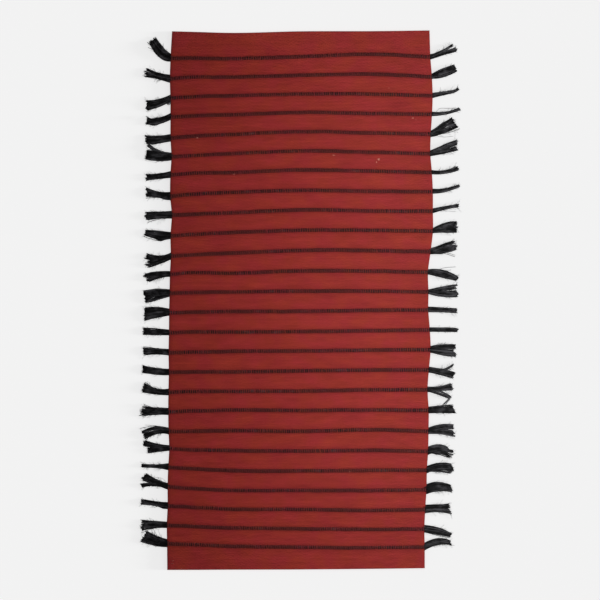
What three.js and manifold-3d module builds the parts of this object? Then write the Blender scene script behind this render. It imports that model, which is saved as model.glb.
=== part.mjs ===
// A flat-woven rug. Thick dark weft stripes cross the cloth, and at both ends of every stripe its
// yarn runs on past the cloth's side and ends as a cut tassel that lies on the floor.
// Millimetres, +Z up. X runs across the rug and Y along it, and the end at +Y is called the far end.
// The origin is the middle of the cloth's underside.

import * as THREE from 'three';
import { mergeVertices } from 'three/addons/utils/BufferGeometryUtils.js';
import Module from 'manifold-3d';

// Cloth
const clothWidth = 591;
const clothLength = 1236;
const clothThickness = 4;
const sideLean = 11; // how much further to +X the far end lies than the near end

// Stripes, counted from the far end
const firstStripeY = 560;
const stripePitch = 45;

// Tassels
const seatGap = 0.3; // between the cloth's side and a tassel's root
const partingInset = 4; // a tassel's second lock starts this far out, inside the first
const partingHeightShare = 0.9; // its height as a share of the first lock's
const rootHeight = 6;
const tipHeight = 3;
const sideHeightShare = 0.45; // height at a lock's two sides, as a share of its height in the middle
const lockSteps = { along: 5, across: 4 };

const clothFinish = { color: 0x8a2c28, roughness: 0.95, metalness: 0 };
const yarnFinish = { color: 0x18181a, roughness: 0.9, metalness: 0 };

const sides = { left: -1, right: 1 };

// Each table below is a list of rows, with its columns named in front of it.
function namedRows(columns, rows) {
  return rows.map((row) => Object.fromEntries(columns.map((name, k) => [name, row[k]])));
}

// One row for each stripe: how far its two ends drift towards +Y from the even pitch, and how far the
// cloth's two sides bulge out there.
const stripes = namedRows(['leftDrift', 'rightDrift', 'leftBulge', 'rightBulge'], [
  [-2, 2, 3, 2.5],
  [-5, 2, 4, 6.5],
  [-5, 3, 1.5, 8.5],
  [-3, 3.5, 1, 7.5],
  [-6, 5, 1.5, 4],
  [-4, 4, -1, 4.5],
  [-2, 4, 0, 8.5],
  [-5, 6, 0, 10],
  [-3, 6.5, -3, 10.5],
  [-6, 5.5, -0.5, 10.5],
  [-8, 3.5, -1.5, 5],
  [-5, 0, 0, 1],
  [-3, 1.5, 0.5, 3],
  [-2, 2.5, 1.5, 1.5],
  [-4, 3, 1, 6.5],
  [-4, 3, 1.5, 9.5],
  [-5, 2, 1.5, 6],
  [-6, 0, 1.5, 3],
  [-6, -1, 1, 6],
  [-5, -4.5, 0, 7],
  [0, -2, -2, 6],
  [2, -2, 0, 3],
  [2, -2, 1.5, 2.5],
  [3, -4, 1.5, 0],
  [3, -8, 2, -1.5],
  [6, -2, 1, -1],
]);

// One row for each point across an end: its place as a share of the width from the middle, and how far
// the far end and the near end drift towards +Y there.
const endPoints = namedRows(['across', 'farDrift', 'nearDrift'], [
  [-0.5, 0, -1.5],
  [-0.25, -3.5, -1],
  [0, 0.5, -0.5],
  [0.25, 2.5, 1],
  [0.5, 2, 2.5],
]);

// One row for each lock of yarn. A tassel that parts has a row for each of its locks.
// out is the reach from the cloth's side to the tip, rise is how far the tip lies towards +Y of the root,
// bow is how far the middle of the lock bends towards +Y, and root, belly and tip are widths.
const lockColumns = ['stripe', 'out', 'rise', 'bow', 'root', 'belly', 'tip'];

const locks = {
  left: namedRows(lockColumns, [
    [1, 43, 38, -6, 14, 17, 15],
    [2, 56, 14, 0, 16, 14, 19],
    [3, 53, -15, -2, 14, 16, 21],
    [4, 58, -7, -6, 12, 11, 14],
    [5, 56, -6, -3, 16, 18, 21],
    [6, 56, 4, -1, 16, 21, 19],
    [7, 54, -5, -1, 14, 11, 12],
    [8, 55, 8, 0, 17, 12, 18],
    [9, 57, -2, -1, 14, 15, 17],
    [10, 59, 6, -3, 13, 20, 13],
    [11, 55, 0, -5, 13, 11, 13],
    [11, 53, -18, -3, 13, 11, 13],
    [12, 54, -9, 0, 11, 15, 18],
    [13, 57, -8, 1, 15, 23, 21],
    [14, 56, -3, 2, 14, 24, 29],
    [15, 57, 2, 0, 11, 15, 15],
    [16, 57, 2, 0, 16, 15, 15],
    [17, 58, 7, -2, 13, 14, 15],
    [18, 56, 8, -3, 14, 13, 20],
    [19, 60, -2, 1, 14, 14, 17],
    [20, 56, -7, 5, 13, 16, 20],
    [21, 57, 11, -1, 12, 10, 10],
    [21, 46, -5, 0, 12, 9, 10],
    [22, 60, 2, 0, 14, 9, 6],
    [23, 52, 22, 0, 14, 14, 18],
    [23, 58, 2, 4, 12, 7, 9],
    [24, 60, 8, 0, 14, 11, 9],
    [25, 58, -1, 1, 11, 14, 18],
    [26, 54, 15, 0, 16, 23, 26],
  ]),
  right: namedRows(lockColumns, [
    [1, 60, 15, 0, 11, 9, 9],
    [1, 52, 26, -2, 10, 7, 5],
    [2, 54, 17, 0, 10, 18, 18],
    [3, 59, 10, 0, 11, 8, 9],
    [4, 62, 13, -4, 9, 7, 5],
    [5, 52, 33, 2, 11, 13, 11],
    [5, 61, 18, -1, 11, 16, 16],
    [6, 60, 23, 0, 10, 11, 10],
    [6, 61, 10, -2, 9, 8, 8],
    [7, 61, 8, -4, 8, 8, 10],
    [8, 60, 12, -3, 10, 8, 5],
    [9, 60, 11, 0, 10, 7, 6],
    [10, 55, 7, 3, 10, 20, 26],
    [11, 61, 9, 2, 11, 16, 11],
    [11, 56, 22, 2, 10, 11, 7],
    [12, 66, -16, 4, 9, 16, 7],
    [13, 63, 0, 0, 9, 20, 27],
    [14, 64, -1, 0, 11, 10, 10],
    [15, 63, -1, 0, 9, 9, 8],
    [16, 56, -3, 0, 14, 24, 28],
    [17, 56, -14, 0, 11, 13, 17],
    [17, 55, 10, -8, 8, 7, 5],
    [18, 54, 7, 0, 11, 9, 15],
    [18, 50, -18, 2, 8, 8, 5],
    [19, 57, 0, 0, 13, 14, 16],
    [20, 55, 9, 4, 12, 13, 12],
    [20, 58, -7, 1, 11, 10, 13],
    [21, 56, -4, 6, 15, 17, 6],
    [21, 55, -17, 0, 10, 9, 7],
    [22, 57, 5, 3, 14, 13, 12],
    [22, 55, -9, 1, 8, 6, 6],
    [23, 56, -1, 5, 17, 20, 14],
    [24, 57, 0, 0, 17, 17, 21],
    [25, 60, -12, 2, 17, 17, 7],
    [26, 60, 8, 6, 13, 17, 10],
  ]),
};

function leanAt(y) {
  return sideLean * y / clothLength;
}

// Where a stripe meets one side of the cloth
function stripeEnd(side, stripe) {
  const row = stripes[stripe - 1];
  const y = firstStripeY - stripePitch * (stripe - 1) + row[side + 'Drift'];
  return new THREE.Vector2(sides[side] * (clothWidth / 2 + row[side + 'Bulge']) + leanAt(y), y);
}

// The far end and the near end, each from -X to +X
function endLine(endY, drift) {
  return endPoints.map((point) => {
    const y = endY + point[drift];
    return new THREE.Vector2(point.across * clothWidth + leanAt(y), y);
  });
}

const farEnd = endLine(clothLength / 2, 'farDrift');
const nearEnd = endLine(-clothLength / 2, 'nearDrift');

// The stripes' ends on one side, from the far end to the near end
function stripeEnds(side) {
  return stripes.map((row, k) => stripeEnd(side, k + 1));
}

// One whole side of the cloth, corners included, from the far end to the near end
const sideLines = {
  left: [farEnd.at(0), ...stripeEnds('left'), nearEnd.at(0)],
  right: [farEnd.at(-1), ...stripeEnds('right'), nearEnd.at(-1)],
};

function sideXAt(side, y) {
  const line = sideLines[side];
  const k = line.findIndex((point) => point.y <= y);
  const share = (line[k - 1].y - y) / (line[k - 1].y - line[k].y);
  return THREE.MathUtils.lerp(line[k - 1].x, line[k].x, share);
}

function clothGeometry() {
  const outline = new THREE.Shape([
    ...farEnd,
    ...stripeEnds('right'),
    ...nearEnd.toReversed(),
    ...stripeEnds('left').toReversed(),
  ]);
  return new THREE.ExtrudeGeometry(outline, { depth: clothThickness, bevelEnabled: false });
}

// A lock's width at a share of its length: a parabola through its root, belly and tip widths
function widthAt(lock, along) {
  const rootShare = (1 - along) * (1 - 2 * along);
  const bellyShare = 4 * along * (1 - along);
  const tipShare = along * (2 * along - 1);
  return lock.root * rootShare + lock.belly * bellyShare + lock.tip * tipShare;
}

// A lock is a box bent along its path: flat below, highest along its middle, thinning towards its tip.
// Its root end follows the cloth's side, at the given gap.
function lockGeometry(side, lock, rootGap, heightShare) {
  const root = stripeEnd(side, lock.stripe);
  const tip = new THREE.Vector2(root.x + sides[side] * lock.out, root.y + lock.rise);
  const bend = root.clone().lerp(tip, 0.5);
  bend.y += 2 * lock.bow;
  const path = new THREE.QuadraticBezierCurve(root, bend, tip);
  const geometry = new THREE.BoxGeometry(1, 1, 1, lockSteps.along, lockSteps.across, 1);
  geometry.deleteAttribute('normal');
  geometry.deleteAttribute('uv');
  const corners = geometry.attributes.position;
  for (let k = 0; k < corners.count; k++) {
    const along = corners.getX(k) + 0.5;
    const across = corners.getY(k);
    const up = corners.getZ(k) + 0.5;
    const centre = path.getPoint(along);
    const heading = path.getTangent(along);
    const offset = across * widthAt(lock, along);
    const y = centre.y + heading.x * offset;
    const seatX = sideXAt(side, y) + sides[side] * rootGap;
    const x = along === 0 ? seatX : centre.x - heading.y * offset;
    const crown = heightShare * THREE.MathUtils.lerp(rootHeight, tipHeight, along);
    const height = crown * THREE.MathUtils.lerp(1, sideHeightShare, (2 * across) ** 2);
    corners.setXYZ(k, x, y, up * height);
  }
  return mergeVertices(geometry);
}

const wasm = await Module();
wasm.setup();

function solidOf(geometry) {
  const vertProperties = geometry.attributes.position.array;
  const triVerts = new Uint32Array(geometry.index.array);
  return new wasm.Manifold(new wasm.Mesh({ numProp: 3, vertProperties, triVerts }));
}

function geometryOf(solid) {
  const { vertProperties, triVerts } = solid.getMesh();
  const geometry = new THREE.BufferGeometry();
  geometry.setAttribute('position', new THREE.BufferAttribute(vertProperties, 3));
  geometry.setIndex(new THREE.BufferAttribute(triVerts, 1));
  return geometry;
}

// All the locks of one tassel, grown together near its root
function tasselGeometry(side, stripe) {
  const [first, ...others] = locks[side].filter((lock) => lock.stripe === stripe);
  let tassel = solidOf(lockGeometry(side, first, seatGap, 1));
  for (const lock of others) {
    tassel = tassel.add(solidOf(lockGeometry(side, lock, partingInset, partingHeightShare)));
  }
  return geometryOf(tassel);
}

function namedMesh(name, geometry, finish) {
  geometry.computeVertexNormals();
  const mesh = new THREE.Mesh(geometry, new THREE.MeshStandardMaterial(finish));
  mesh.name = name;
  return mesh;
}

const rug = new THREE.Group();
rug.name = 'rug';
rug.add(namedMesh('cloth', clothGeometry(), clothFinish));
for (const side of Object.keys(sides)) {
  stripes.forEach((row, k) => {
    const number = String(k + 1).padStart(2, '0');
    rug.add(namedMesh(`tassel_${side}_${number}`, tasselGeometry(side, k + 1), yarnFinish));
  });
}

export default rug;
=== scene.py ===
# A flat-woven cotton rug lying on the floor, seen from straight above.
# Red cloth with dark weft bundles laid in across it, their cut ends hanging out as tassels on both sides.
# Metres in Blender, millimetres in the tables below. +Y is the far end, +X the right side.

import bmesh
import bpy
import numpy as np
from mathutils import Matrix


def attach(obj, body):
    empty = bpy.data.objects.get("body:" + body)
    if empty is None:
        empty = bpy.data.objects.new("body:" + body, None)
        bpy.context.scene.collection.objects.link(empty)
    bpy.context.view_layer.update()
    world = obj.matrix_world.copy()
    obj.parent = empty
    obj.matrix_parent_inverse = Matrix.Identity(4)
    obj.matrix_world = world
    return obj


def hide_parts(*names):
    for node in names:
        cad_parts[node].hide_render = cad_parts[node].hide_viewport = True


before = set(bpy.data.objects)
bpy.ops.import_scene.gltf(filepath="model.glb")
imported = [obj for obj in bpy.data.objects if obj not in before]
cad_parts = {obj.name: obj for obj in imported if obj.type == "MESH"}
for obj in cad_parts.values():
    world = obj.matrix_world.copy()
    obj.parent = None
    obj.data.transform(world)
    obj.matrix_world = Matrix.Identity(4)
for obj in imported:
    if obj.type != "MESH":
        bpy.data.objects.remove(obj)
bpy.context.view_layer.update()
print("frame:", len(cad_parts), "nodes")

mm = 0.001
white = (1, 1, 1, 1)
sideSign = {"left": -1, "right": 1}


# How the weave lies

rugLay = {
    "width": 591,
    "length": 1236,
    "lean": 11,  # the far end lies this much further to +X than the near end
    "firstStripe": 558.5,
    "pitch": 44.96,
    "stations": (-0.5, -0.43, -0.28, 0, 0.3, 0.5),  # shares of the width, from the middle
    "farEnd": (0, -1, -3.5, 0, 0.5, 2),  # drift towards +Y at the stations
    "nearEnd": (-1.5, -1.5, -1, -0.5, 1, 2.5),
    "wander": 0.25,  # how far a stripe strays from its drift, between knots spread over the width
    "wanderKnots": 31,
    "seed": 3,
}

# One row for each stripe, from the far end: its drift towards +Y at the six stations, then how far the
# cloth's left and right sides bulge out beside it
stripeRows = (
    (-2, -2, -3, 1.5, 7, 0.5, 3, 2.5),
    (-5, -1, -0.5, 3.5, 6, 0, 4, 6.5),
    (-4, -1, 1.5, 5.5, 5, 1.5, 2.5, 8.5),
    (-2, 0, 2.5, 8, 5.5, 4, 2, 7.5),
    (-6, -2.5, 2, 9, 5.5, 3.5, 1.5, 5),
    (-4, -1.5, 3, 9.5, 6, 3, -1, 4.5),
    (-0.5, 3, 5, 10.5, 8, 5, 1, 8.5),
    (-5, -0.5, 4, 9, 6.5, 6, 1, 11),
    (-3, -1.5, 2, 9, 6, 6, -3, 11.5),
    (-6, -3, 1.5, 7, 7, 5, -0.5, 12),
    (-8, -5, -1, 6, 5, 3, -1.5, 7),
    (-4.5, -0.5, -2, 3.5, 3, 0.5, 0, 1.5),
    (-3, -1.5, 0, 2, 2, 0, 0.5, 3),
    (-2.5, -2, 0, 0.5, 3, 4, 1, 3),
    (-4, -2, -2, -1, 1, 2.5, 1, 7),
    (-4.5, -4, -1.5, -0.5, 1.5, 2, 1.5, 9),
    (-5, -4, -4, -1.5, 0.5, 0.5, 0.5, 5.5),
    (-6, -4, -3.5, -3, 0, 0, 1, 3),
    (-6, -4, -1.5, -2.5, -1.5, -2.5, 1, 6),
    (-6, -6, -4, -5.5, -2, -6, 0, 6),
    (0, -2.5, -4.5, -6, -4.5, -6.5, -2, 5.5),
    (2, -0.5, -5.5, -6.5, -5.5, -5, 0, 3),
    (2, -1, -6, -6.5, -6.5, -5, 1, 2.5),
    (3, 1, -4, -5, -7.5, -5.5, 0.5, 0),
    (3, 1.5, -2, -4.5, -6, -5.5, 2, -1.5),
    (6, 5, 1, -2, -3, -2, 1, -0.5),
)


def softLine(stations, values, where):
    # a smooth line through a few values, its slopes taken from the neighbours
    stations = np.asarray(stations, float)
    values = np.asarray(values, float)
    slopes = np.gradient(values, stations)
    k = np.clip(np.searchsorted(stations, where, side="right") - 1, 0, len(stations) - 2)
    span = stations[k + 1] - stations[k]
    t = (where - stations[k]) / span
    level = values[k] * (1 + 2 * t) * (1 - t) ** 2 + values[k + 1] * (3 - 2 * t) * t ** 2
    swing = slopes[k] * t * (1 - t) ** 2 - slopes[k + 1] * (1 - t) * t ** 2
    return level + span * swing


# Lines across the rug: the far end is line 0, the stripes are lines 1 to 26, the near end is the last
stripeCount = len(stripeRows)
stripeLevels = [rugLay["firstStripe"] - rugLay["pitch"] * k for k in range(stripeCount)]
lineLevels = np.array([rugLay["length"] / 2, *stripeLevels, -rugLay["length"] / 2])
lineDrifts = [rugLay["farEnd"], *(row[:-2] for row in stripeRows), rugLay["nearEnd"]]
lineNumbers = np.arange(len(lineLevels))
sideBulge = {
    "left": np.array([0, *(row[-2] for row in stripeRows), 0]),
    "right": np.array([0, *(row[-1] for row in stripeRows), 0]),
}
fineSteps = 400
fineAcross = np.linspace(-0.5, 0.5, fineSteps + 1)
lineHeights = np.array([
    level + softLine(rugLay["stations"], drift, fineAcross)
    for level, drift in zip(lineLevels, lineDrifts)
])
wanderDraw = np.random.default_rng(rugLay["seed"])
wanderKnots = np.linspace(-0.5, 0.5, rugLay["wanderKnots"])
for stripeLine in lineHeights[1:-1]:
    wander = wanderDraw.normal(0, rugLay["wander"], len(wanderKnots))
    wander[[0, -1]] = 0
    stripeLine += softLine(wanderKnots, wander, fineAcross)


def onCloth(line, across):
    # x and y in mm of a place on the cloth: line counts the lines above, across is a share of the width
    line, across = np.broadcast_arrays(np.asarray(line, float), np.asarray(across, float))
    k = np.clip(line.astype(int), 0, len(lineLevels) - 2)
    step = (across + 0.5) * fineSteps
    j = np.clip(step.astype(int), 0, fineSteps - 1)
    part = step - j
    upper = lineHeights[k, j] * (1 - part) + lineHeights[k, j + 1] * part
    lower = lineHeights[k + 1, j] * (1 - part) + lineHeights[k + 1, j + 1] * part
    y = upper + (lower - upper) * (line - k)
    left = -rugLay["width"] / 2 - softLine(lineNumbers, sideBulge["left"], line)
    right = rugLay["width"] / 2 + softLine(lineNumbers, sideBulge["right"], line)
    x = left + (right - left) * (across + 0.5) + rugLay["lean"] * y / rugLay["length"]
    return x, y


# Finishes

class Wire:
    # a socket in a node tree; sums and products on it add Math nodes
    def __init__(self, maker, socket):
        self.maker = maker
        self.socket = socket

    def maths(self, operation, *terms):
        return self.maker.node("ShaderNodeMath", {"operation": operation}, dict(enumerate(terms)))

    def __add__(self, other):
        return self.maths("ADD", self, other)

    __radd__ = __add__

    def __sub__(self, other):
        return self.maths("SUBTRACT", self, other)

    def __rsub__(self, other):
        return self.maths("SUBTRACT", other, self)

    def __mul__(self, other):
        return self.maths("MULTIPLY", self, other)

    __rmul__ = __mul__

    def __abs__(self):
        return self.maths("ABSOLUTE", self)

    def sine(self):
        return self.maths("SINE", self)

    def within(self, low, high):
        return self.maths("MINIMUM", self.maths("MAXIMUM", self, low), high)


class NodeMaker:
    # adds nodes to a tree: their type, their settings, and the values or wires of their sockets
    def __init__(self, tree):
        self.tree = tree

    def node(self, kind, settings, sockets, out=0):
        made = self.tree.nodes.new(kind)
        for name, value in settings.items():
            setattr(made, name, value)
        self.fill(made, sockets)
        return Wire(self, made.outputs[out])

    def fill(self, made, sockets):
        for key, value in sockets.items():
            if isinstance(value, Wire):
                self.tree.links.new(value.socket, made.inputs[key])
            else:
                made.inputs[key].default_value = value


class Finish(NodeMaker):
    # a material: fixed values go straight on its shader
    def __init__(self, name, fixed):
        self.material = bpy.data.materials.new(name)
        self.material.use_nodes = True
        super().__init__(self.material.node_tree)
        self.shader = self.tree.nodes["Principled BSDF"]
        self.fill(self.shader, fixed)

    def attribute(self, name):
        return self.node("ShaderNodeAttribute", {"attribute_name": name}, {}, "Fac")

    def noise(self, scale, detail, stretch=(1, 1, 1)):
        # swings around 0
        place = self.node("ShaderNodeTexCoord", {}, {}, "Object")
        turned = self.node("ShaderNodeMapping", {}, {"Vector": place, "Scale": stretch})
        sockets = {"Vector": turned, "Scale": scale, "Detail": detail}
        return self.node("ShaderNodeTexNoise", {}, sockets) - 0.5

    def mixed(self, share, first, second):
        # 0, 6 and 7 are the node's factor and its two colours, and 2 is its mixed colour
        return self.node("ShaderNodeMix", {"data_type": "RGBA"}, {0: share, 6: first, 7: second}, 2)

    def bumped(self, height, look):
        sockets = {"Height": height, "Distance": look["reliefDepth"], "Strength": look["reliefStrength"]}
        return self.node("ShaderNodeBump", {}, sockets)


redLook = {
    "deep": (0.160, 0.0108, 0.0090, 1),
    "warm": (0.355, 0.0400, 0.0235, 1),
    "cool": (0.355, 0.0314, 0.0330, 1),
    # painted shade: the darker colour mixed in where the ribs dip and beside the stripes
    "furrowShade": (0.100, 0.0075, 0.0070, 1),
    "dyeScale": 24,
    "dyeSpread": 3.4,  # how far the dye swings between warm and cool
    "streaks": 0.06,  # how far a yarn's own tone moves it between deep and bright
    "patchScale": 7,
    "patchStretch": (1, 1.6, 1),
    "patches": 0.30,
    "fibreScale": 420,
    "fibreStretch": (0.35, 1, 1),
    "fibres": 0.25,
    "ribShade": 0.18,  # painted shade: how much darker it is between ribs, and beside the stripes
    "stripeShade": 0.56,
    "weaveRelief": 0.5,
    "fibreRelief": 0.6,
    "reliefDepth": 0.5 * mm,
    "reliefStrength": 0.6,
}
bindingLook = {
    **redLook,
    "deep": (0.058, 0.0092, 0.0086, 1),
    "warm": (0.175, 0.0225, 0.0150, 1),
    "cool": (0.175, 0.0160, 0.0210, 1),
    "ribShade": 0,  # single threads have no ribs
}


def redFinish(name, look):
    made = Finish(name, {"Roughness": 0.55, "Specular IOR Level": 0.07, "Sheen Weight": 0.03})
    # a plain weave: warp and weft take turns on top
    ribWave = (made.attribute("ribCount") * np.pi).sine()
    over = (made.attribute("warpCount") * np.pi).sine() * ribWave
    fibres = made.noise(look["fibreScale"], 3, look["fibreStretch"])
    patches = made.noise(look["patchScale"], 2, look["patchStretch"])
    dye = 0.5 + made.noise(look["dyeScale"], 1) * look["dyeSpread"]
    bright = made.mixed(dye.within(0, 1), look["warm"], look["cool"])
    tone = 0.5 + made.attribute("tone") * look["streaks"]
    tone = tone + patches * look["patches"] + fibres * look["fibres"]
    colour = made.mixed(tone.within(0, 1), look["deep"], bright)
    # painted shade: darker in the hollows between ribs and in the rows beside each stripe
    furrowShade = (1 - abs(ribWave)) * look["ribShade"] + made.attribute("beside") * look["stripeShade"]
    relief = over * look["weaveRelief"] + fibres * look["fibreRelief"]
    made.fill(made.shader, {
        "Base Color": made.mixed(furrowShade.within(0, 1), colour, look["furrowShade"]),
        "Normal": made.bumped(relief, look),
    })
    return made.material


blackLook = {
    "deep": (0.0036, 0.0035, 0.0039, 1),
    # the lighter end carries wear and painted sheen
    "wornAndSheen": (0.0720, 0.0702, 0.0770, 1),
    "fibreScale": 600,
    "fibres": 0.4,
    "patchScale": 110,
    "patchStretch": (0.6, 1, 1),
    "patches": 2.2,  # how far patches lighten and darken it: partly wear, partly painted highlights and shade along the lock
    "twistLength": 3.2,  # mm for one turn of the ply
    "twists": 0.06,
    "roughness": 0.5,
    "roughSpread": 0.3,
    "twistRelief": 0.5,
    "fibreRelief": 0.5,
    "reliefDepth": 0.25 * mm,
    "reliefStrength": 0.5,
}


def blackFinish():
    look = blackLook
    made = Finish("blackCotton", {"Specular IOR Level": 0.09, "Sheen Weight": 0.01})
    fibres = made.noise(look["fibreScale"], 2)
    patches = made.noise(look["patchScale"], 2, look["patchStretch"])
    along = made.attribute("along") * (2 * np.pi / look["twistLength"])
    twist = (along + made.attribute("around") * (2 * np.pi)).sine()
    tone = made.attribute("tone") + fibres * look["fibres"] + twist * look["twists"]
    # painted highlights and shade: patches lighten and darken the lock, partly as wear
    tone = tone + patches * look["patches"]
    made.fill(made.shader, {
        "Base Color": made.mixed(tone.within(0, 1), look["deep"], look["wornAndSheen"]),
        "Roughness": look["roughness"] + fibres * look["roughSpread"],
        "Normal": made.bumped(twist * look["twistRelief"] + fibres * look["fibreRelief"], look),
    })
    return made.material


redCotton = redFinish("redCotton", redLook)
bindingCotton = redFinish("bindingCotton", bindingLook)
blackCotton = blackFinish()
print("finishes: red, binding and black cotton")


# Making pieces

def addObject(name, data):
    made = bpy.data.objects.new(name, data)
    bpy.context.scene.collection.objects.link(made)
    return made


def meshFrom(name, bm):
    mesh = bpy.data.meshes.new(name)
    bm.to_mesh(mesh)
    bm.free()
    return mesh


def pointLayers(bm, *names):
    return [bm.verts.layers.float.new(name) for name in names]


def addPiece(name, mesh, material, nodes=()):
    mesh.shade_smooth()
    mesh.materials.append(material)
    piece = addObject(name, mesh)
    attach(piece, "root")
    if nodes:
        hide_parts(*nodes)
    return piece


def tubeMesh(name, bundles):
    # Many small tubes in one mesh. A bundle is an array of paths (tubes, stations, xyz), the half widths
    # and half heights of their sections, their tones, and their number of sides; sizes are in mm.
    points, faces, tones, lengths, turns = [], [], [], [], []
    start = 0
    for paths, halfWidth, halfHeight, tone, sides in bundles:
        tubes, stations = paths.shape[:2]
        corner = np.arange(sides)
        angle = corner * 2 * np.pi / sides
        heading = np.gradient(paths, axis=1)
        heading /= np.linalg.norm(heading, axis=2, keepdims=True)
        aside = np.cross(heading, (0, 0, 1))
        aside /= np.linalg.norm(aside, axis=2, keepdims=True)
        above = np.cross(aside, heading)
        wide = (halfWidth[..., None] * np.cos(angle))[..., None] * aside[:, :, None]
        high = (halfHeight[..., None] * np.sin(angle))[..., None] * above[:, :, None]
        points.append((paths[:, :, None] + wide + high).reshape(-1, 3))
        ring = start + np.arange(tubes * stations).reshape(tubes, stations, 1) * sides
        this = ring[:, :-1] + corner
        beside = ring[:, :-1] + (corner + 1) % sides
        walls = np.stack((this, this + sides, beside + sides, beside), axis=-1)
        faces += walls.reshape(-1, 4).tolist()
        faces += (ring[:, 0] + corner).tolist()
        faces += (ring[:, -1] + corner[::-1]).tolist()
        steps = np.linalg.norm(np.diff(paths, axis=1, prepend=paths[:, :1]), axis=2)
        lengths.append(np.repeat(np.cumsum(steps, axis=1), sides))
        turns.append(np.tile(corner / sides, tubes * stations))
        tones.append(np.repeat(np.broadcast_to(tone, (tubes, stations)), sides))
        start += tubes * stations * sides
    mesh = bpy.data.meshes.new(name)
    mesh.from_pydata(np.concatenate(points) * mm, [], faces)
    for label, values in (("tone", tones), ("along", lengths), ("around", turns)):
        layer = mesh.attributes.new(label, "FLOAT", "POINT")
        layer.data.foreach_set("value", np.concatenate(values).astype(np.float32))
    return mesh


# Cloth: weft ribs side by side, with a thin bed under each stripe

clothLook = {
    "columns": 78,
    "selvedge": 1.2,  # the outermost columns lie this far apart
    "ribPitch": 3.25,
    "ribShape": ((0, 0), (0.3, 1), (0.7, 1)),  # shares of the pitch, and 0 for valley or 1 for crest
    "crest": 4.0,
    "valley": 3.05,
    "bedHeight": 0.8,
    "bedHalf": 3.85,
    "bedWall": 0.8,
    "slubHeight": 0.12,
    "streakKnots": 22,
    "streakBlend": 0.5,  # how much of its neighbours' streaks a rib shares
    "ribTone": 0.5,  # spreads of tone from rib to rib and from place to place
    "placeTone": 0.4,
    "warpPitch": 5,
    "sideHeight": 0.8,  # share of the height at the sides
    "edgeRound": 0.6,
    "edgeMiddle": 0.45,  # share of the height at which the edge stands out furthest
    "stripeShadeReach": 3,  # painted shade: the cloth is darker this near to a stripe
    "seed": 11,
}


def ribRows():
    # each row along the rug: its line, its height (1 crest, 0 valley, -1 bed), its count of ribs, and how
    # near it is to a stripe, from 0 to 1, which darkens it as painted shade
    rows = []
    rib = 0
    last = len(lineLevels) - 2
    bed = clothLook["bedHalf"]
    wall = clothLook["bedWall"]
    for k in range(last + 1):
        span = lineLevels[k] - lineLevels[k + 1]
        start = 0 if k == 0 else bed
        stop = span if k == last else span - bed
        count = round((stop - start) / clothLook["ribPitch"])
        places = [(start + (stop - start) * (r + share) / count, height, rib + r + share)
                  for r in range(count) for share, height in clothLook["ribShape"]]
        rib += count
        places.append((stop, 0, rib))
        if k > 0:
            places.insert(0, (start - wall, -1, rib - count))
        if k < last:
            places.append((stop + wall, -1, rib))
        for place, height, ribPlace in places:
            gaps = [place - start] * (k > 0) + [stop - place] * (k < last)
            # painted shade from the nearest stripe, fading with distance
            beside = np.exp(-max(0, min(gaps)) / clothLook["stripeShadeReach"])
            rows.append((k + place / span, height, ribPlace, beside))
    return np.array(rows), rib


def yarnStreaks(draw, ribs, across):
    # each rib's own unevenness: streaks a few cm long that spread over two or three ribs
    knots = np.linspace(-0.5, 0.5, clothLook["streakKnots"])
    blend = clothLook["streakBlend"]
    rough = draw.normal(0, 1, (ribs + 2, len(knots)))
    rough = blend * rough[:-2] + rough[1:-1] + blend * rough[2:]
    streaks = np.array([softLine(knots, row, across) for row in rough])
    ribTones = draw.normal(0, clothLook["ribTone"], (ribs, 1))
    streaks += ribTones + draw.normal(0, clothLook["placeTone"], streaks.shape)
    return streaks / streaks.std()


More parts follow.
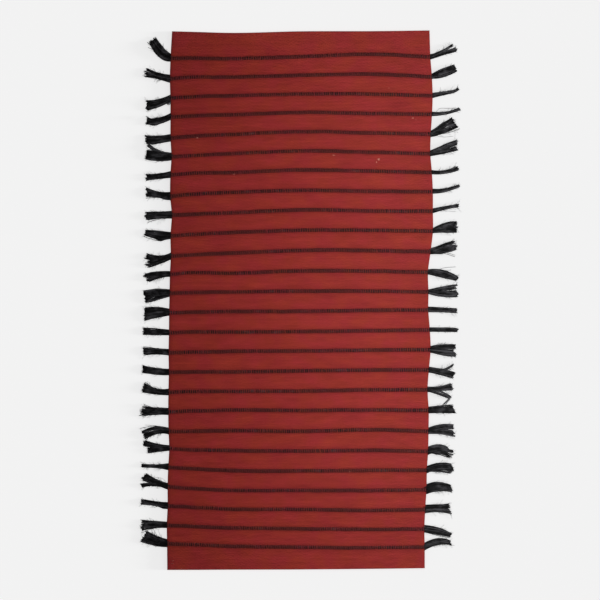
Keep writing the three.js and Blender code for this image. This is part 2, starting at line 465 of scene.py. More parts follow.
def makeCloth():
    draw = np.random.default_rng(clothLook["seed"])
    inset = clothLook["selvedge"] / rugLay["width"]
    across = np.array([-0.5, *np.linspace(-0.5 + inset, 0.5 - inset, clothLook["columns"] - 1), 0.5])
    rows, ribs = ribRows()
    lines, heights, ribCounts, stripeShades = rows.T
    x, y = onCloth(lines[:, None], across[None])
    streaks = yarnStreaks(draw, ribs, across)
    tones = streaks[np.clip(ribCounts.astype(int), 0, ribs - 1)]
    levels = np.where(heights > 0, clothLook["crest"], clothLook["valley"])
    levels = np.where(heights < 0, clothLook["bedHeight"], levels)
    z = levels[:, None] + tones * clothLook["slubHeight"] * (heights > 0)[:, None]
    z[:, (0, -1)] *= clothLook["sideHeight"]

    bm = bmesh.new()
    rowEnd = len(lines) - 1
    columnEnd = len(across) - 1
    bmesh.ops.create_grid(bm, x_segments=columnEnd, y_segments=rowEnd, size=0.5)
    # the "beside" layer carries the painted shade beside the stripes
    layers = pointLayers(bm, "tone", "ribCount", "warpCount", "beside")
    toneLayer, ribLayer, warpLayer, stripeShadeLayer = layers
    warps = across * rugLay["width"] / clothLook["warpPitch"]
    for v in bm.verts:
        c = round((v.co.x + 0.5) * columnEnd)
        r = round((0.5 - v.co.y) * rowEnd)
        v.co = x[r, c] * mm, y[r, c] * mm, z[r, c] * mm
        v[toneLayer] = tones[r, c]
        v[ribLayer] = ribCounts[r]
        v[warpLayer] = warps[c]
        v[stripeShadeLayer] = stripeShades[r]

    # the edge turns over in a small round and the underside is flat
    rim = [e for e in bm.edges if e.is_boundary]
    edgeRound = clothLook["edgeRound"] * mm
    for push, share in ((edgeRound, clothLook["edgeMiddle"]), (-edgeRound, 0)):
        made = bmesh.ops.extrude_edge_only(bm, edges=rim)["geom"]
        rim = [e for e in made if isinstance(e, bmesh.types.BMEdge) and e.is_boundary]
        for v in made:
            if not isinstance(v, bmesh.types.BMVert):
                continue
            if abs(v[warpLayer]) > warps[-2]:
                v.co.x += push * np.sign(v[warpLayer])
            if v[ribLayer] in (0, ribs):
                v.co.y += push * np.sign(v.co.y)
            v.co.z *= share
    bmesh.ops.edgeloop_fill(bm, edges=rim)
    bmesh.ops.recalc_face_normals(bm, faces=bm.faces[:])
    mesh = meshFrom("wovenCloth", bm)
    print("cloth:", ribs, "ribs,", len(mesh.polygons), "faces")
    return addPiece("wovenCloth", mesh, redCotton, ["cloth"])


# Dark weft bundles: one lobed bundle of yarns in each bed

weftLook = {
    "steps": 96,
    "around": 14,
    "halfWidth": 3.55,
    "halfHeight": 2.1,
    "middle": 2.45,
    "lobe": 0.08,
    "lump": 0.05,
    "beyond": 2,  # how far it runs on past the cloth's sides, into the tassels
    "tone": -0.15,
    "toneSpread": 0.06,
    "weld": 0.01,
    "seed": 5,
}


def makeWefts():
    draw = np.random.default_rng(weftLook["seed"])
    steps = weftLook["steps"]
    around = weftLook["around"]
    across = np.linspace(-0.5, 0.5, steps + 1)
    turn = np.arange(around + 1) / around
    angle = (turn - 0.25) * 2 * np.pi  # the seam lies underneath
    lobes = 1 + weftLook["lobe"] * np.cos(np.arange(around + 1) * np.pi)
    bm = bmesh.new()
    alongLayer, aroundLayer, toneLayer = pointLayers(bm, "along", "around", "tone")
    for stripe in range(1, stripeCount + 1):
        x, y = onCloth(stripe, across)
        x = x + weftLook["beyond"] * (np.sign(across) * (abs(across) == 0.5))
        lumps = 1 + draw.normal(0, weftLook["lump"], steps + 1)
        tones = draw.normal(weftLook["tone"], weftLook["toneSpread"], steps + 1)
        for v in bmesh.ops.create_grid(bm, x_segments=steps, y_segments=around, size=0.5)["verts"]:
            i = round((v.co.x + 0.5) * steps)
            j = round((v.co.y + 0.5) * around)
            aside = weftLook["halfWidth"] * lumps[i] * lobes[j] * np.cos(angle[j])
            up = weftLook["middle"] + weftLook["halfHeight"] * lobes[j] * np.sin(angle[j])
            v.co = x[i] * mm, (y[i] + aside) * mm, up * mm
            v[alongLayer] = x[i]
            v[aroundLayer] = turn[j]
            v[toneLayer] = tones[i]
    bmesh.ops.remove_doubles(bm, verts=bm.verts[:], dist=weftLook["weld"] * mm)
    bmesh.ops.holes_fill(bm, edges=[e for e in bm.edges if e.is_boundary], sides=0)
    bmesh.ops.recalc_face_normals(bm, faces=bm.faces[:])
    mesh = meshFrom("darkWefts", bm)
    print("weft bundles:", stripeCount, "stripes,", len(mesh.polygons), "faces")
    return addPiece("darkWefts", mesh, blackCotton)


# Warp floats: the red warp threads that bind each bundle down

floatLook = {
    "pitch": 5,
    "drift": 1,  # the threads crowd and spread a little along a stripe
    "closeWidth": 2.3,  # half widths where the threads lie close, and where dark gaps show between them
    "openWidth": 1.15,
    "closeTone": -5,
    "openTone": 8,
    "halfThick": 0.45,
    "reach": 4.6,
    # share of the reach, height, share of the width
    "arch": ((1, 2.7, 1.4), (0.65, 4.3, 1.15), (0, 4.9, 0.8), (-0.65, 4.3, 1.15), (-1, 2.7, 1.4)),
    # how open the threads lie, from 0 to 1: at these stripes, and its change at the left side, in the
    # middle and at the right side
    "openStripes": (1, 6, 8, 20, 23, 26),
    "openness": (0.3, 0.35, 0.55, 0.62, 0.45, 0.15),
    "openSides": (-0.2, 0.14, -0.18),
    "openSpread": 0.9,
    "knots": 12,  # between knots along a stripe they change slowly
    # spreads from thread to thread: of place in pitches, of width as a share, of tone and of height
    "unevenPlace": 0.03,
    "unevenWidth": 0.075,
    "unevenTone": 1.6,
    "unevenHeight": 0.06,
    "sway": 0.3,
    "sides": 6,
    "seed": 9,
}


def makeFloats():
    look = floatLook
    draw = np.random.default_rng(look["seed"])
    count = round(rugLay["width"] / look["pitch"])
    shares, heights, widths = np.array(look["arch"]).T
    knots = np.linspace(-0.5, 0.5, look["knots"])
    bundles = []
    for stripe in range(1, stripeCount + 1):
        even = (np.arange(count) + 0.5 + draw.normal(0, look["unevenPlace"], count)) / count - 0.5
        drift = draw.normal(0, look["drift"] / rugLay["width"], len(knots))
        drift[[0, -1]] = 0
        x, y = onCloth(stripe, even + softLine(knots, drift, even))
        opened = np.interp(stripe, look["openStripes"], look["openness"])
        opened = opened + np.interp(knots, (-0.5, 0, 0.5), look["openSides"])
        opened = opened + draw.uniform(-look["openSpread"], look["openSpread"], len(knots))
        opened = np.clip(softLine(knots, opened, even), 0, 1)
        lean = draw.normal(0, look["sway"], count)
        paths = np.empty((count, len(shares), 3))
        paths[:, :, 0] = x[:, None] + lean[:, None] * shares
        paths[:, :, 1] = y[:, None] + look["reach"] * shares
        paths[:, :, 2] = heights + draw.normal(0, look["unevenHeight"], count)[:, None]
        # a strong thread mostly lies beside a weak one
        strength = np.diff(draw.normal(0, 1, count + 1)) * opened
        halfWidth = look["closeWidth"] + (look["openWidth"] - look["closeWidth"]) * opened
        halfWidth *= 1 + look["unevenWidth"] * strength
        thick = np.full((count, len(shares)), look["halfThick"])
        tone = look["closeTone"] + (look["openTone"] - look["closeTone"]) * opened
        tone += look["unevenTone"] * strength
        bundles.append((paths, halfWidth[:, None] * widths, thick, tone[:, None], look["sides"]))
    mesh = tubeMesh("warpFloats", bundles)
    print("warp floats:", count * stripeCount, "threads,", len(mesh.polygons), "faces")
    return addPiece("warpFloats", mesh, bindingCotton)


# Tassels: the cut ends of the bundles, one piece for each end of each stripe

tasselLook = {
    "strandsPerMm": 3.6,  # for each mm of a lock's widest part
    "fewest": 7,
    "radius": 0.6,
    "radiusSpread": 0.12,
    "radiusRange": (0.7, 1.3),
    "radiusShares": (0.92, 1.06),  # at the root and at the tip
    "coreRadius": 0.8,  # every third strand lies straight on the floor and closes the gaps; it stands in partly as painted shade, the shadowed floor between strands
    "coreEvery": 3,
    "longer": 1.2,  # strands reach this far past the table's tips, and spread this much wider
    "wider": 0.8,
    "stations": 11,
    "sides": 5,
    "inside": 3.5,  # strands start this far inside the cloth's side
    "lift": 1,  # and this much nearer to +Y than the stripe's middle
    "rootCrown": 5.4,
    "tipCrown": 3.0,
    "sideCrown": 0.45,
    "leastRoof": 0.2,
    "yarnWidth": 2.8,  # strands hang together in yarns, drawn in towards each yarn's middle
    "yarnPull": 0.3,
    "yarnAside": 0.2,
    "yarnSway": 0.45,
    "swayTurns": (0.5, 1.2),
    "yarnCrown": 0.35,
    "yarnToneAndSideLight": {"left": (0.18, 0.24), "right": (0.29, 0.34)},  # mean and spread; the right side's higher mean and spread are painted light from the right
    "strandTone": 0.15,
    "grooveShade": 0.25,  # how much darker strands are beside the next yarn
    "rootShade": 0.35,  # strands are darker by this at the root, over this share of their length
    "rootShare": 0.35,
    "wave": 0.35,
    "waveTurns": (0.7, 1.7),
    "waveHeight": 0.25,
    "waveLayer": 0.3,  # strands above this share of the layers also rise and fall
    "driftPower": 1.5,
    "strandAside": 0.025,
    "strays": 0.14,
    "strayAside": 0.16,
    "cutSpread": 0.95,
    "notchWidth": 0.14,
    "partingPush": (0.3, 1.4),
    "lumpLength": 0.15,
    "hairsPerMm": 6.5,
    "hairRadius": 0.25,
    "hairLength": (3, 11),
    "hairGather": 0.5,  # below 1, hairs gather at the lock's sides
    "hairStart": 3,  # the first station that a hair starts from
    "hairLean": (0.15, 0.2),
    "hairCurl": 0.4,
    "hairDroop": 0.6,
    "hairTone": (0.3, 0.9),
    "hairStations": 4,
    "hairSides": 3,
    "strayHeights": (3.2, 1.2),
    "strayTone": 0.5,
    "seed": 21,
}

# One row for each lock of a tassel: its stripe, reach, rise of the tip towards +Y, bow of its middle
# towards +Y, and its widths at root, belly and tip
lockRows = {
    "left": (
        (1, 40.5, 37, -7.8, 16, 22, 15),
        (2, 53.5, 13.5, -0.6, 17.5, 14.5, 17),
        (3, 54, -17.4, -3.2, 12, 17, 21.5),
        (4, 53, -10, -4.5, 13, 14, 17),
        (5, 56, -5, -1.3, 15.5, 16.5, 20),
        (6, 57, 4, -1.5, 16, 22, 19),
        (6, 54, 25.5, -3.5, 6, 3.5, 5.5),
        (7, 55.5, -7, -0.5, 14, 11, 13.5),
        (8, 54, 8.2, -1, 18, 13, 18.5),
        (9, 57.5, -3, 0.6, 17, 14.5, 18.5),
        (10, 57, 7, -2, 14.5, 18, 11.5),
        (11, 54.5, -1, -5, 13, 11, 13),
        (11, 54, -19, -3, 13, 11, 13),
        (12, 52.5, -9.3, 3, 12, 14.5, 18.5),
        (13, 56.5, -8.3, 1, 15, 24, 24),
        (14, 55.5, -4.5, 2, 14, 23.5, 27.5),
        (15, 57.5, 2.8, 0, 12, 13.8, 15.5),
        (16, 57, 2.6, 0.9, 13.5, 13, 14.5),
        (17, 58.5, 6.7, -2, 13.5, 14.5, 15.5),
        (18, 56.5, 9.5, -3.5, 14, 12.5, 21.5),
        (19, 60, -1.5, 1.4, 15, 15.5, 17.5),
        (20, 56.5, -8.5, 6, 14, 15, 20),
        (21, 58, 11, -1, 12, 10, 11.5),
        (21, 48.5, -5.5, -0.5, 12, 10, 11.5),
        (22, 58.5, 2.2, 0, 15, 6.5, 5.5),
        (23, 53, 22, -1.5, 13.5, 11.5, 15.5),
        (23, 59, 2, 3.4, 13, 6.5, 7.5),
        (24, 59, 8, -0.4, 13.5, 9.5, 9),
        (25, 56.5, -1, 1.2, 13, 15.5, 21.5),
        (26, 52, 15.2, -2.2, 17, 22, 28),
    ),
    "right": (
        (1, 58, 16.5, -0.5, 11, 8, 8),
        (1, 50, 26, -1.5, 8, 4.5, 4),
        (2, 53.5, 20.5, 2, 10, 12, 11.5),
        (2, 52.5, 13, -5, 8.5, 5.5, 5.5),
        (3, 58, 10, 0.5, 11, 7.2, 5.3),
        (4, 62, 10.8, -3.5, 9.5, 5.8, 5),
        (5, 50, 33, -0.8, 10, 9.5, 8.5),
        (5, 57, 21, -1.5, 12, 14, 14),
        (6, 60, 25, 0.8, 11.5, 10.5, 11),
        (6, 60.5, 11.5, -1.5, 12, 9, 8),
        (7, 60, 8, -4, 8.5, 6.8, 8),
        (8, 58.5, 11.7, -3.3, 10.5, 7.3, 5),
        (9, 57, 12, 0.8, 9.5, 7.6, 6.2),
        (10, 53.5, 16.3, 4.3, 9.5, 9.5, 7.5),
        (10, 54, 3.2, 0.8, 10, 12.5, 13),
        (11, 57.5, 9, 0, 13, 16, 10.5),
        (11, 53.5, 21.5, 1, 9, 7, 4.5),
        (12, 66.5, -15.6, 3.7, 10, 17.2, 8),
        (13, 61.5, 10.8, 0.9, 8, 9.5, 8),
        (13, 64.5, -5, -2.6, 9, 13.2, 13.5),
        (14, 64, -2.8, 0.3, 12, 10.5, 9.5),
        (15, 63, -0.8, 0.5, 9.5, 9, 7.3),
        (16, 56.5, -3, 0.2, 13, 23, 26),
        (17, 56.5, -13, 1.2, 12.5, 13.2, 15),
        (17, 53.5, 8.5, -6.8, 9, 5.5, 3),
        (18, 55, 6, -1.3, 12, 9.3, 15.5),
        (18, 51.5, -18, 2, 9, 9, 6),
        (19, 57.5, 1.4, 1, 14, 16, 15),
        (20, 56, 10, 3.7, 13, 12.5, 9.5),
        (20, 58, -5, 1.5, 12, 12, 11),
        (21, 43, 3.5, 4.2, 15.5, 16.5, 12.5),
        (21, 55.5, -1.5, 4, 9, 5, 5),
        (21, 53, -12.5, 1.5, 10, 8, 7),
        (22, 57.5, 7, 4.7, 14, 14, 12.5),
        (22, 55, -5, 2, 9, 8, 7.5),
        (23, 56.5, 1.2, 5.8, 20, 20.2, 13.5),
        (24, 56.5, 0.7, 1.5, 18.5, 16.8, 20.5),
        (25, 60, -14, 1.4, 16, 15.5, 8),
        (26, 58, 9.5, 6.6, 14, 14, 8.5),
    ),
}

# What sets a lock apart, by stripe and lock. slant: how much further the +Y side reaches. notch: depth of
# a dent in the tip. fill: share of strands that a thin lock has. fray: how uneven the cut is. partings:
# place across (towards +Y), start and stop along, and width of gaps. lumps: place along, side and size of
# bulges. hook: where the tip turns, and its rise.
lockCuts = {
    "left": {
        (1, 0): {"fray": 1.3},
        (2, 0): {"fray": 1.6, "partings": ((0.2, 0.65, 1.5, 1.4),)},
        (4, 0): {"lumps": ((0.85, 1, -3), (0.7, -1, 3))},
        (6, 1): {"partings": ((0, 0.25, 0.95, 2.4),)},
        (8, 0): {"slant": 4, "lumps": ((0.2, -1, 2),)},
        (9, 0): {"notch": -3, "partings": ((-0.1, 0.35, 1.05, 1.3),)},
        (10, 0): {"fray": 1.5, "lumps": ((0.4, -1, 4),)},
        (11, 1): {"fray": 2, "partings": ((0.1, 0.4, 1.5, 1.2), (-0.25, 0.5, 1.5, 0.7))},
        (12, 0): {"fray": 1.6, "slant": 5,
                  "partings": ((-0.05, 0.35, 1.6, 0.9), (-0.3, 0.5, 1.6, 0.9))},
        (13, 0): {"fray": 1.1, "partings": ((-0.28, 0.3, 0.9, 1.5),)},
        (14, 0): {"slant": -6, "partings": ((0.1, 0.5, 1.4, 0.8),)},
        (15, 0): {"partings": ((0.3, 0.4, 1.0, 0.9),)},
        (17, 0): {"slant": 3},
        (18, 0): {"slant": 4},
        (19, 0): {"fray": 2.5, "partings": ((0.2, 0.6, 1.6, 1.3), (-0.2, 0.55, 1.6, 1.6))},
        (20, 0): {"slant": -3, "partings": ((0.1, 0.2, 0.95, 1.8),)},
        (23, 0): {"fray": 1.6},
        (24, 0): {"lumps": ((0.15, -1, 2.5),)},
        (25, 0): {"fray": 1.5, "slant": -3},
        (26, 0): {"slant": -1.5},
    },
    "right": {
        (2, 0): {"notch": 2},
        (3, 0): {"hook": (0.8, 3.5)},
        (5, 0): {"fray": 1.6, "partings": ((-0.1, 0.35, 0.85, 2.8),)},
        (5, 1): {"fray": 1.6, "lumps": ((0.15, -1, 2),),
                 "partings": ((0.2, 0.3, 0.8, 3), (-0.15, 0.5, 1.5, 1.2))},
        (6, 0): {"partings": ((0, 0.45, 0.9, 0.8),)},
        (10, 1): {"fray": 1.3, "partings": ((-0.1, 0.5, 1.0, 0.5),)},
        (11, 0): {"fray": 1.5, "lumps": ((0.4, -1, 2),), "partings": ((0.25, 0.4, 1.4, 1.0),)},
        (12, 0): {"partings": ((0.1, 0.4, 0.9, 0.7),)},
        (13, 0): {"fray": 1.6, "partings": ((0.1, 0.55, 1.5, 1.6),)},
        (13, 1): {"notch": -3},
        (16, 0): {"notch": 4, "lumps": ((0.2, 1, 1.5),),
                  "partings": ((0.1, 0.45, 1.4, 0.9), (0.32, 0.25, 0.85, 0.9))},
        (17, 0): {"partings": ((0.2, 0.4, 1.0, 0.8),)},
        (18, 0): {"fray": 1.6, "partings": ((-0.1, 0.5, 1.5, 1.0),)},
        (18, 1): {"fray": 2, "fill": 0.8, "partings": ((0.1, 0.2, 0.9, 0.8), (-0.25, 0.3, 0.9, 0.6))},
        (19, 0): {"slant": -8, "partings": ((0.25, 0.45, 1.05, 1.2),)},
        (20, 0): {"slant": -4, "partings": ((0, 0.35, 0.95, 1.0),)},
        (20, 1): {"slant": -4, "fray": 1.5, "partings": ((-0.2, 0.5, 1.5, 1.2),)},
        (21, 0): {"fray": 1.6, "slant": -4},
        (21, 1): {"fill": 0.7, "fray": 2, "partings": ((0, 0.5, 1.5, 1.2),)},
        (21, 2): {"fill": 0.45, "fray": 2.5,
                  "partings": ((0.1, 0.3, 1.5, 1.4), (-0.25, 0.4, 1.5, 1.2))},
        (22, 0): {"slant": -8},
        (22, 1): {"fill": 0.8, "fray": 2.5, "partings": ((0, 0.45, 1.5, 0.9),)},
        (23, 0): {"slant": -8, "partings": ((0.25, 0.05, 0.7, 1.0),)},
        (24, 0): {"slant": -6, "notch": 6},
        (25, 0): {"partings": ((-0.25, 0.3, 0.85, 1.3),)},
        (26, 0): {"slant": -6, "partings": ((0.1, 0.3, 0.8, 0.7),)},
    },
}

# Strands that stray from a tassel: its stripe, the strand's thickness, and the points that it passes, as
# reach and rise from the tassel's root
strayRows = {
    "left": (
        (1, 1.2, ((30, 16), (42, 26), (54, 36))),
        (1, 1.0, ((24, 6), (36, 15), (52, 24))),
        (3, 2.4, ((-1, -8), (4, -11), (9, -14))),
        (3, 2.0, ((-1, -9.5), (4, -13), (8, -16))),
        (3, 2.2, ((-1, -12), (2, -14.5), (5, -17))),
        (4, 1.8, ((40, -6), (49, -4), (57, 0))),
        (6, 1.6, ((3, 6), (24, 10), (42, 16), (54, 24))),
        (6, 1.2, ((4, 6.5), (26, 13.5), (43, 21), (53, 31))),
        (19, 1.3, ((6, 6.5), (41, 11), (57, 17))),
        (19, 0.9, ((14, 6), (40, 9.5), (56, 14))),
        (20, 0.7, ((14, 8), (24, 11.5), (54, 14))),
        (23, 0.6, ((4, 10), (10, 16), (40, 22))),
        (26, 0.8, ((22, 14), (27, 24), (33, 34))),
        (26, 0.7, ((30, 16), (34, 26), (40, 36))),
        (26, 0.6, ((10, 9), (16, 18), (22, 33))),
    ),
    "right": (
        (4, 0.8, ((10, 4), (16, 11.5), (33, 12.5), (56, 11.5))),
        (5, 0.7, ((6, -2), (12.5, -4.5), (26, -7.5), (52, -6))),
        (9, 1.6, ((44, 10), (50, 12), (54, 17))),
        (9, 0.6, ((18, 2), (30, 0), (53, -2))),
        (11, 1.2, ((16, 0), (26, -3.5), (42.5, -8), (56, -12.5))),
        (11, 1.0, ((20, 1), (30, -1), (44, -5), (57, -9.5))),
        (12, 0.9, ((12, 2), (21, 4.5), (37, 9), (64, 11.5))),
        (16, 0.8, ((8, 7), (20, 11.5), (34, 12), (48, 10))),
        (16, 0.7, ((10, 8), (18, 13), (30, 14), (42, 11))),
        (18, 2.0, ((41, -14), (50.5, -18.5), (44, -28), (37, -36))),
        (18, 1.9, ((45, -15), (52, -20.5), (45, -30), (40, -38))),
        (18, 1.6, ((39, -13), (48.5, -19.5), (41, -29), (33, -37))),
        (19, 0.8, ((30, 5), (39, 8), (48, 11.5), (57.5, 9))),
        (19, 0.8, ((10, -4), (16, -7), (25, -9), (37, -7))),
        (26, 0.6, ((50, 6), (60, 4.5), (69, 2.5))),
    ),
}


def curveThrough(points, count):
    # evenly spaced points on a smooth curve through a few
    points = np.array(points, float)
    steps = np.linalg.norm(np.diff(points, axis=0), axis=1)
    stations = np.concatenate(([0], np.cumsum(steps)))
    where = np.linspace(0, stations[-1], count)
    return np.stack([softLine(stations, column, where) for column in points.T], axis=-1)


def rootOf(side, stripe):
    x, y = onCloth(stripe, 0.5 * sideSign[side])
    return float(x), float(y) + tasselLook["lift"]


def lockLine(root, step, bow, hook, t):
    # places and headings along a lock's middle line, a curve with one bend and perhaps a hook at the tip
    bend = root + step / 2 + (0, 2 * bow)
    tip = root + step
    turn, turnRise = hook
    t = t[..., None]
    places = root * (1 - t) ** 2 + 2 * bend * t * (1 - t) + tip * t ** 2
    places[..., 1:] += turnRise * np.maximum((t - turn) / (1 - turn), 0) ** 2
    headings = (bend - root) * (1 - t) + (tip - bend) * t
    return places, headings / np.linalg.norm(headings, axis=-1, keepdims=True)


def lockStrands(draw, side, row, cut):
    look = tasselLook
    stripe, out, rise, bow, *widths = row
    root, belly, tip = (width + look["wider"] for width in widths)
    sign = sideSign[side]
    reach = np.hypot(out, rise)
    widest = max(root, belly, tip)
    count = max(look["fewest"], round(look["strandsPerMm"] * widest * cut.get("fill", 1)))
    rank = (np.arange(count) + draw.random(count)) / count - 0.5
    core = np.arange(count) % look["coreEvery"] == 1

    # strands hang together in yarns, which sway and end a little apart
    yarns = max(2, round(widest / look["yarnWidth"]))
    yarn = np.minimum(((rank + 0.5) * yarns).astype(int), yarns - 1)
    middle = (yarn + 0.5) / yarns - 0.5
    fromMiddle = 2 * yarns * (rank - middle)
    cutSpread = look["cutSpread"] * cut.get("fray", 1)
    yarnEnd = draw.normal(0, cutSpread, yarns)[yarn]
    yarnAside = draw.normal(0, look["yarnAside"] / yarns, yarns)[yarn]
    drawnIn = look["yarnPull"] * (middle - rank)
    drift = drawnIn + yarnAside + draw.normal(0, look["strandAside"], count)
    drift += draw.normal(0, look["strayAside"], count) * (draw.random(count) < look["strays"])
    drift = np.where(core, 0, drift)[:, None]
    slant = cut.get("slant", 0) * rank * sign
    notch = cut.get("notch", 0) * np.exp(-(rank / look["notchWidth"]) ** 2)
    end = 1 + (look["longer"] + yarnEnd + draw.normal(0, cutSpread, count) + slant - notch) / reach
    t = np.linspace(-look["inside"] / reach, 1, look["stations"]) * end[:, None]
    inner = np.clip(t, 0, 1)

    # each strand's place beside the lock's middle line
    width = root * (1 - inner) * (1 - 2 * inner) + 4 * belly * inner * (1 - inner)
    width += tip * inner * (2 * inner - 1)
    offset = (rank[:, None] + drift * inner ** look["driftPower"]) * width
    swayTurns = draw.uniform(*look["swayTurns"], yarns)[yarn][:, None]
    sway = 2 * np.pi * (swayTurns * inner + draw.random(yarns)[yarn][:, None])
    waveTurns = draw.uniform(*look["waveTurns"], (count, 1))
    wave = 2 * np.pi * (waveTurns * inner + draw.random((count, 1)))
    offset += look["yarnSway"] * np.sin(sway) * inner
    offset += np.where(core, 0, look["wave"])[:, None] * np.sin(wave) * inner
    for place, start, stop, gap in cut.get("partings", ()):
        opening = np.sin(np.pi * np.clip((inner - start) / (stop - start), 0, 1))
        push = gap / 2 * draw.uniform(*look["partingPush"], count) * np.sign(rank - place * sign)
        offset += push[:, None] * opening
    for place, bulgeSide, size in cut.get("lumps", ()):
        bulge = size * np.exp(-((inner - place) / look["lumpLength"]) ** 2)
        outer = np.clip(2 * rank * sign * bulgeSide, 0, 1)[:, None]
        offset += bulgeSide * sign * bulge * outer

    # its height, crowned over the lock and over its yarn
    layer = np.where(core, 0, draw.permutation(count) / (count - 1))[:, None]
    crown = look["rootCrown"] + (look["tipCrown"] - look["rootCrown"]) * inner
    roof = crown * (1 + (look["sideCrown"] - 1) * np.minimum(1, 2 * abs(rank))[:, None] ** 2)
    roof *= 1 - look["yarnCrown"] * fromMiddle[:, None] ** 2 * inner
    usual = np.where(core, look["coreRadius"], look["radius"])[:, None]
    uneven = np.clip(draw.normal(1, look["radiusSpread"], (count, 1)), *look["radiusRange"])
    atRoot, atTip = look["radiusShares"]
    radius = usual * uneven * (atRoot + (atTip - atRoot) * inner)
    z = radius + layer * np.maximum(roof - 2 * radius, look["leastRoof"])
    z = np.maximum(z + look["waveHeight"] * np.cos(wave) * inner * (layer > look["waveLayer"]), radius)

    # and its tone: lighter on the right side as painted light; darker in the grooves, at the root and in
    # the core strands as painted shade
    # the right side's tassels are made lighter: painted light from the right
    sideLitMean, toneSpread = look["yarnToneAndSideLight"][side]
    yarnTones = draw.normal(0, toneSpread, yarns)
    tone = (yarnTones - yarnTones.mean())[yarn] + draw.normal(sideLitMean, look["strandTone"], count)
    tone = (tone - look["grooveShade"] * fromMiddle ** 2)[:, None]
    tone = tone - look["rootShade"] * np.clip(1 - inner / look["rootShare"], 0, 1)
    # core strands keep the darkest tone: painted shade under the lock
    tone = np.where(core[:, None], 0, np.clip(tone, 0, 1))

    start = np.array(rootOf(side, stripe))
    places, headings = lockLine(start, np.array((sign * out, rise)), bow, cut.get("hook", (0, 0)), t)
    aside = np.stack((-headings[..., 1], headings[..., 0]), -1)
    paths = np.concatenate((places + offset[..., None] * aside, z[..., None]), -1)
    return paths, radius, radius, tone, look["sides"]


def lockHairs(draw, strands, widest):
    # thin fibres that stand off the strands, mostly off the lock's sides and near the cut
    look = tasselLook
    count = round(look["hairsPerMm"] * widest)
    across = draw.beta(look["hairGather"], look["hairGather"], count)
    pick = np.rint(across * (len(strands) - 1)).astype(int)
    start = strands[pick, draw.integers(look["hairStart"], look["stations"] - 1, count)]
    ahead = strands[pick, -1] - strands[pick, -3]
    ahead /= np.linalg.norm(ahead, axis=1, keepdims=True)
    aside = np.stack((-ahead[:, 1], ahead[:, 0], 0 * ahead[:, 0]), -1)
    length = draw.uniform(*look["hairLength"], (count, 1))
    lean = draw.normal(*look["hairLean"], (count, 1)) * np.sign(across - 0.5)[:, None]
    curl = draw.normal(0, look["hairCurl"], (count, 1))
    steps = np.linspace(0, 1, look["hairStations"])
    hairs = np.stack([start + length * s * (ahead + aside * (lean + curl * s)) for s in steps], axis=1)
    hairs[:, :, 2] = np.maximum(hairs[:, :, 2] * (1 - look["hairDroop"] * steps), look["hairRadius"])
    radius = np.full((count, len(steps)), look["hairRadius"])
    return hairs, radius, radius, draw.uniform(*look["hairTone"], (count, 1)), look["hairSides"]


def straysOf(side, stripe):
    look = tasselLook
    rootX, rootY = rootOf(side, stripe)
    made = []
    for rowStripe, thickness, points in strayRows[side]:
        if rowStripe != stripe:
            continue
        flat = curveThrough(points, look["stations"])
        x = rootX + sideSign[side] * flat[:, 0]
        z = np.linspace(*look["strayHeights"], look["stations"]) + thickness
        path = np.stack((x, rootY + flat[:, 1], z), -1)[None]
        radius = np.full((1, look["stations"]), thickness / 2)
        made.append((path, radius, radius, look["strayTone"], look["sides"]))
    return made


def makeTassels():
    draw = np.random.default_rng(tasselLook["seed"])
    pieces = []
    for side, rows in lockRows.items():
        for stripe in range(1, stripeCount + 1):
            bundles = []
            for k, row in enumerate(row for row in rows if row[0] == stripe):
                strands = lockStrands(draw, side, row, lockCuts[side].get((stripe, k), {}))
                bundles += [strands, lockHairs(draw, strands[0], max(row[4:]))]
            bundles += straysOf(side, stripe)
            name = f"tassel{side.capitalize()}{stripe:02d}"
            mesh = tubeMesh(name, bundles)
            node = f"tassel_{side}_{stripe:02d}"
            pieces.append(addPiece(name, mesh, blackCotton, [node]))
    print("tassels:", len(pieces), "pieces,", sum(len(piece.data.polygons) for piece in pieces), "faces")
    return pieces


# Flecks: tangles of undyed fibre caught in the weave

fleckLook = {
    "red": (0.300, 0.0550, 0.0400, 1),
    "pale": (0.640, 0.3300, 0.2500, 1),
    "paleSpread": 0.1,  # from fibre to fibre, and how far it swings along them
    "paleSwing": 0.3,
    "swingScale": 900,
    "fibres": 9,
    "radius": 0.3,
    "height": 4.3,
    "heightSpread": 0.5,
    "arch": 1.5,
    "bend": 0.3,
    "looseness": 0.2,  # how far the fibres' middles lie apart, as a share of the tangle's size
    "stations": 5,
    "sides": 5,
    "seed": 17,
}

# One row for each tangle: its place, its size across and along, and its paleness
fleckRows = (
    (184.5, 324, 4.5, 3, 1),
    (179.5, 317.5, 1.6, 2.4, 0.7),
    (81, 333.5, 3.2, 1.4, 0.55),
    (262.5, 419, 3, 1.6, 0.65),
    (270, 415, 2, 1, 0.25),
    (117.5, -393.5, 1.6, 2, 0.8),
    (-232.5, 373.5, 3, 1.8, 0.6),
    (-148, 289.5, 1.6, 2, 0.3),
    (-289, -598.5, 4.5, 0.8, 0.2),
    (-289, -604.5, 4, 0.8, 0.15),
    (208, 488, 2, 2.4, 0.2),
)


def fleckFinish():
    made = Finish("undyedFleck", {"Roughness": 0.9, "Specular IOR Level": 0.1})
    paleness = made.attribute("tone") + made.noise(fleckLook["swingScale"], 2) * fleckLook["paleSwing"]
    made.fill(made.shader, {
        "Base Color": made.mixed(paleness.within(0, 1), fleckLook["red"], fleckLook["pale"]),
    })
    return made.material


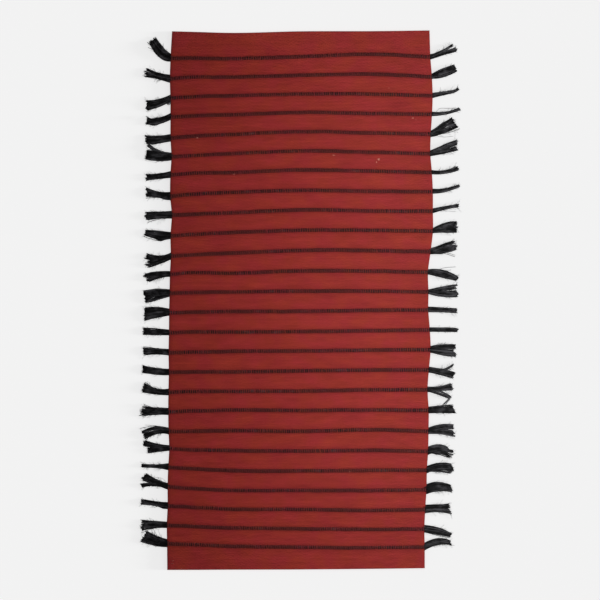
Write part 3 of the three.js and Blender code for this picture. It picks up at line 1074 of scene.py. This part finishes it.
def makeFlecks():
    look = fleckLook
    draw = np.random.default_rng(look["seed"])
    count = look["fibres"]
    steps = np.linspace(-0.5, 0.5, look["stations"])
    bundles = []
    for x, y, across, along, paleness in fleckRows:
        angle = draw.uniform(0, 2 * np.pi, (count, 1))
        turned = angle + draw.normal(0, look["bend"], (count, 1)) * steps
        middle = draw.normal(0, look["looseness"], (count, 2)) * (across, along)
        height = look["height"] + draw.uniform(0, look["heightSpread"], (count, 1))
        paths = np.empty((count, len(steps), 3))
        paths[:, :, 0] = x + middle[:, :1] + across * np.cos(turned) * steps
        paths[:, :, 1] = y + middle[:, 1:] + along * np.sin(turned) * steps
        paths[:, :, 2] = height - look["arch"] * steps ** 2
        radius = np.full((count, len(steps)), look["radius"])
        tone = np.clip(draw.normal(paleness, look["paleSpread"], (count, 1)), 0, 1)
        bundles.append((paths, radius, radius, tone, look["sides"]))
    mesh = tubeMesh("cottonFlecks", bundles)
    print("flecks:", len(fleckRows), "tangles,", len(mesh.polygons), "faces")
    return addPiece("cottonFlecks", mesh, fleckFinish())


cloth = makeCloth()
wefts = makeWefts()
floats = makeFloats()
flecks = makeFlecks()
tassels = makeTassels()
rugPieces = [cloth, wefts, floats, flecks, *tassels]


# Floor, light and camera

floorLook = {
    "size": 30,
    "gap": 0.3 * mm,
    "colour": (0.8, 0.8, 0.8, 1),
    "glow": 0.624,  # a lit table: it glows a little, so that shadows stay faint
}


def makeFloor():
    made = Finish("paleFloor", {
        "Base Color": floorLook["colour"],
        "Roughness": 1,
        "Specular IOR Level": 0,
        "Emission Color": white,
        "Emission Strength": floorLook["glow"],
    })
    bm = bmesh.new()
    bmesh.ops.create_grid(bm, x_segments=1, y_segments=1, size=floorLook["size"])
    bmesh.ops.translate(bm, verts=bm.verts[:], vec=(0, 0, -floorLook["gap"]))
    mesh = meshFrom("floor", bm)
    mesh.materials.append(made.material)
    floor = addObject("floor", mesh)
    return floor


lightLook = {
    "sky": 0.22,
    "skySeen": 0.888,  # how bright the backdrop looks behind the rug
    "keyPlace": (0.33, 0, 0.63),
    "keyAim": (0, 0, 0),
    "keySize": (1.75, 0.3),  # along the rug, then across it
    "keyPower": 8.5,
    # low lights from the right: degrees above the floor, width in degrees, power
    "rake": (13, 25, 0.6),
    "sweep": (4, 5, 3.1),  # for the floor alone, where it leaves the soft shadow on the left
}


def addLight(name, kind, power):
    lamp = bpy.data.lights.new(name, kind)
    lamp.energy = power
    return addObject(name, lamp)


def aim(thing, place, target):
    ahead, aside, up = np.array(target, float) - np.array(place, float)
    tilt = np.arctan2(np.hypot(ahead, aside), -up)
    thing.location = place
    thing.rotation_euler = (tilt, 0, np.arctan2(aside, ahead) - np.pi / 2)


def lightOnly(light, pieces):
    lit = bpy.data.collections.new(light.name + "Lit")
    for piece in pieces:
        lit.objects.link(piece)
    light.light_linking.receiver_collection = lit


def addSun(name):
    height, width, power = lightLook[name]
    sun = addLight(name, "SUN", power)
    sun.data.angle = np.radians(width)
    rise = np.radians(height)
    aim(sun, (np.cos(rise), 0, np.sin(rise)), (0, 0, 0))
    return sun


def makeLights(floor):
    world = bpy.data.worlds.new("studio")
    bpy.context.scene.world = world
    world.use_nodes = True
    maker = NodeMaker(world.node_tree)
    sky = maker.tree.nodes["Background"]
    maker.fill(sky, {"Color": white, "Strength": lightLook["sky"]})
    seen = maker.node("ShaderNodeBackground", {}, {"Color": white, "Strength": lightLook["skySeen"]})
    straight = maker.node("ShaderNodeLightPath", {}, {}, "Is Camera Ray")
    sockets = {0: straight, 1: Wire(maker, sky.outputs[0]), 2: seen}
    either = maker.node("ShaderNodeMixShader", {}, sockets)
    maker.fill(maker.tree.nodes["World Output"], {"Surface": either})

    # the key light falls on the rug alone, so the floor stays even
    key = addLight("key", "AREA", lightLook["keyPower"])
    key.data.shape = "RECTANGLE"
    key.data.size, key.data.size_y = lightLook["keySize"]
    aim(key, lightLook["keyPlace"], lightLook["keyAim"])
    lightOnly(key, rugPieces)

    addSun("rake")
    lightOnly(addSun("sweep"), [floor])


cameraLook = {
    "height": 5,
    "middle": (3.7 * mm, 0.7 * mm),  # the point of the rug under the middle of the picture
    "across": 1.38,  # width of the picture on the floor
    "sensor": 36,
    "clipEnd": 100,
}


def makeCamera():
    lens = bpy.data.cameras.new("camera")
    lens.sensor_width = cameraLook["sensor"]
    lens.lens = cameraLook["sensor"] * cameraLook["height"] / cameraLook["across"]
    lens.clip_end = cameraLook["clipEnd"]
    camera = addObject("camera", lens)
    camera.location = (*cameraLook["middle"], cameraLook["height"])
    bpy.context.scene.camera = camera


floor = makeFloor()
makeLights(floor)
makeCamera()
bpy.context.scene.view_settings.view_transform = "Standard"
print("floor, lights and camera placed")
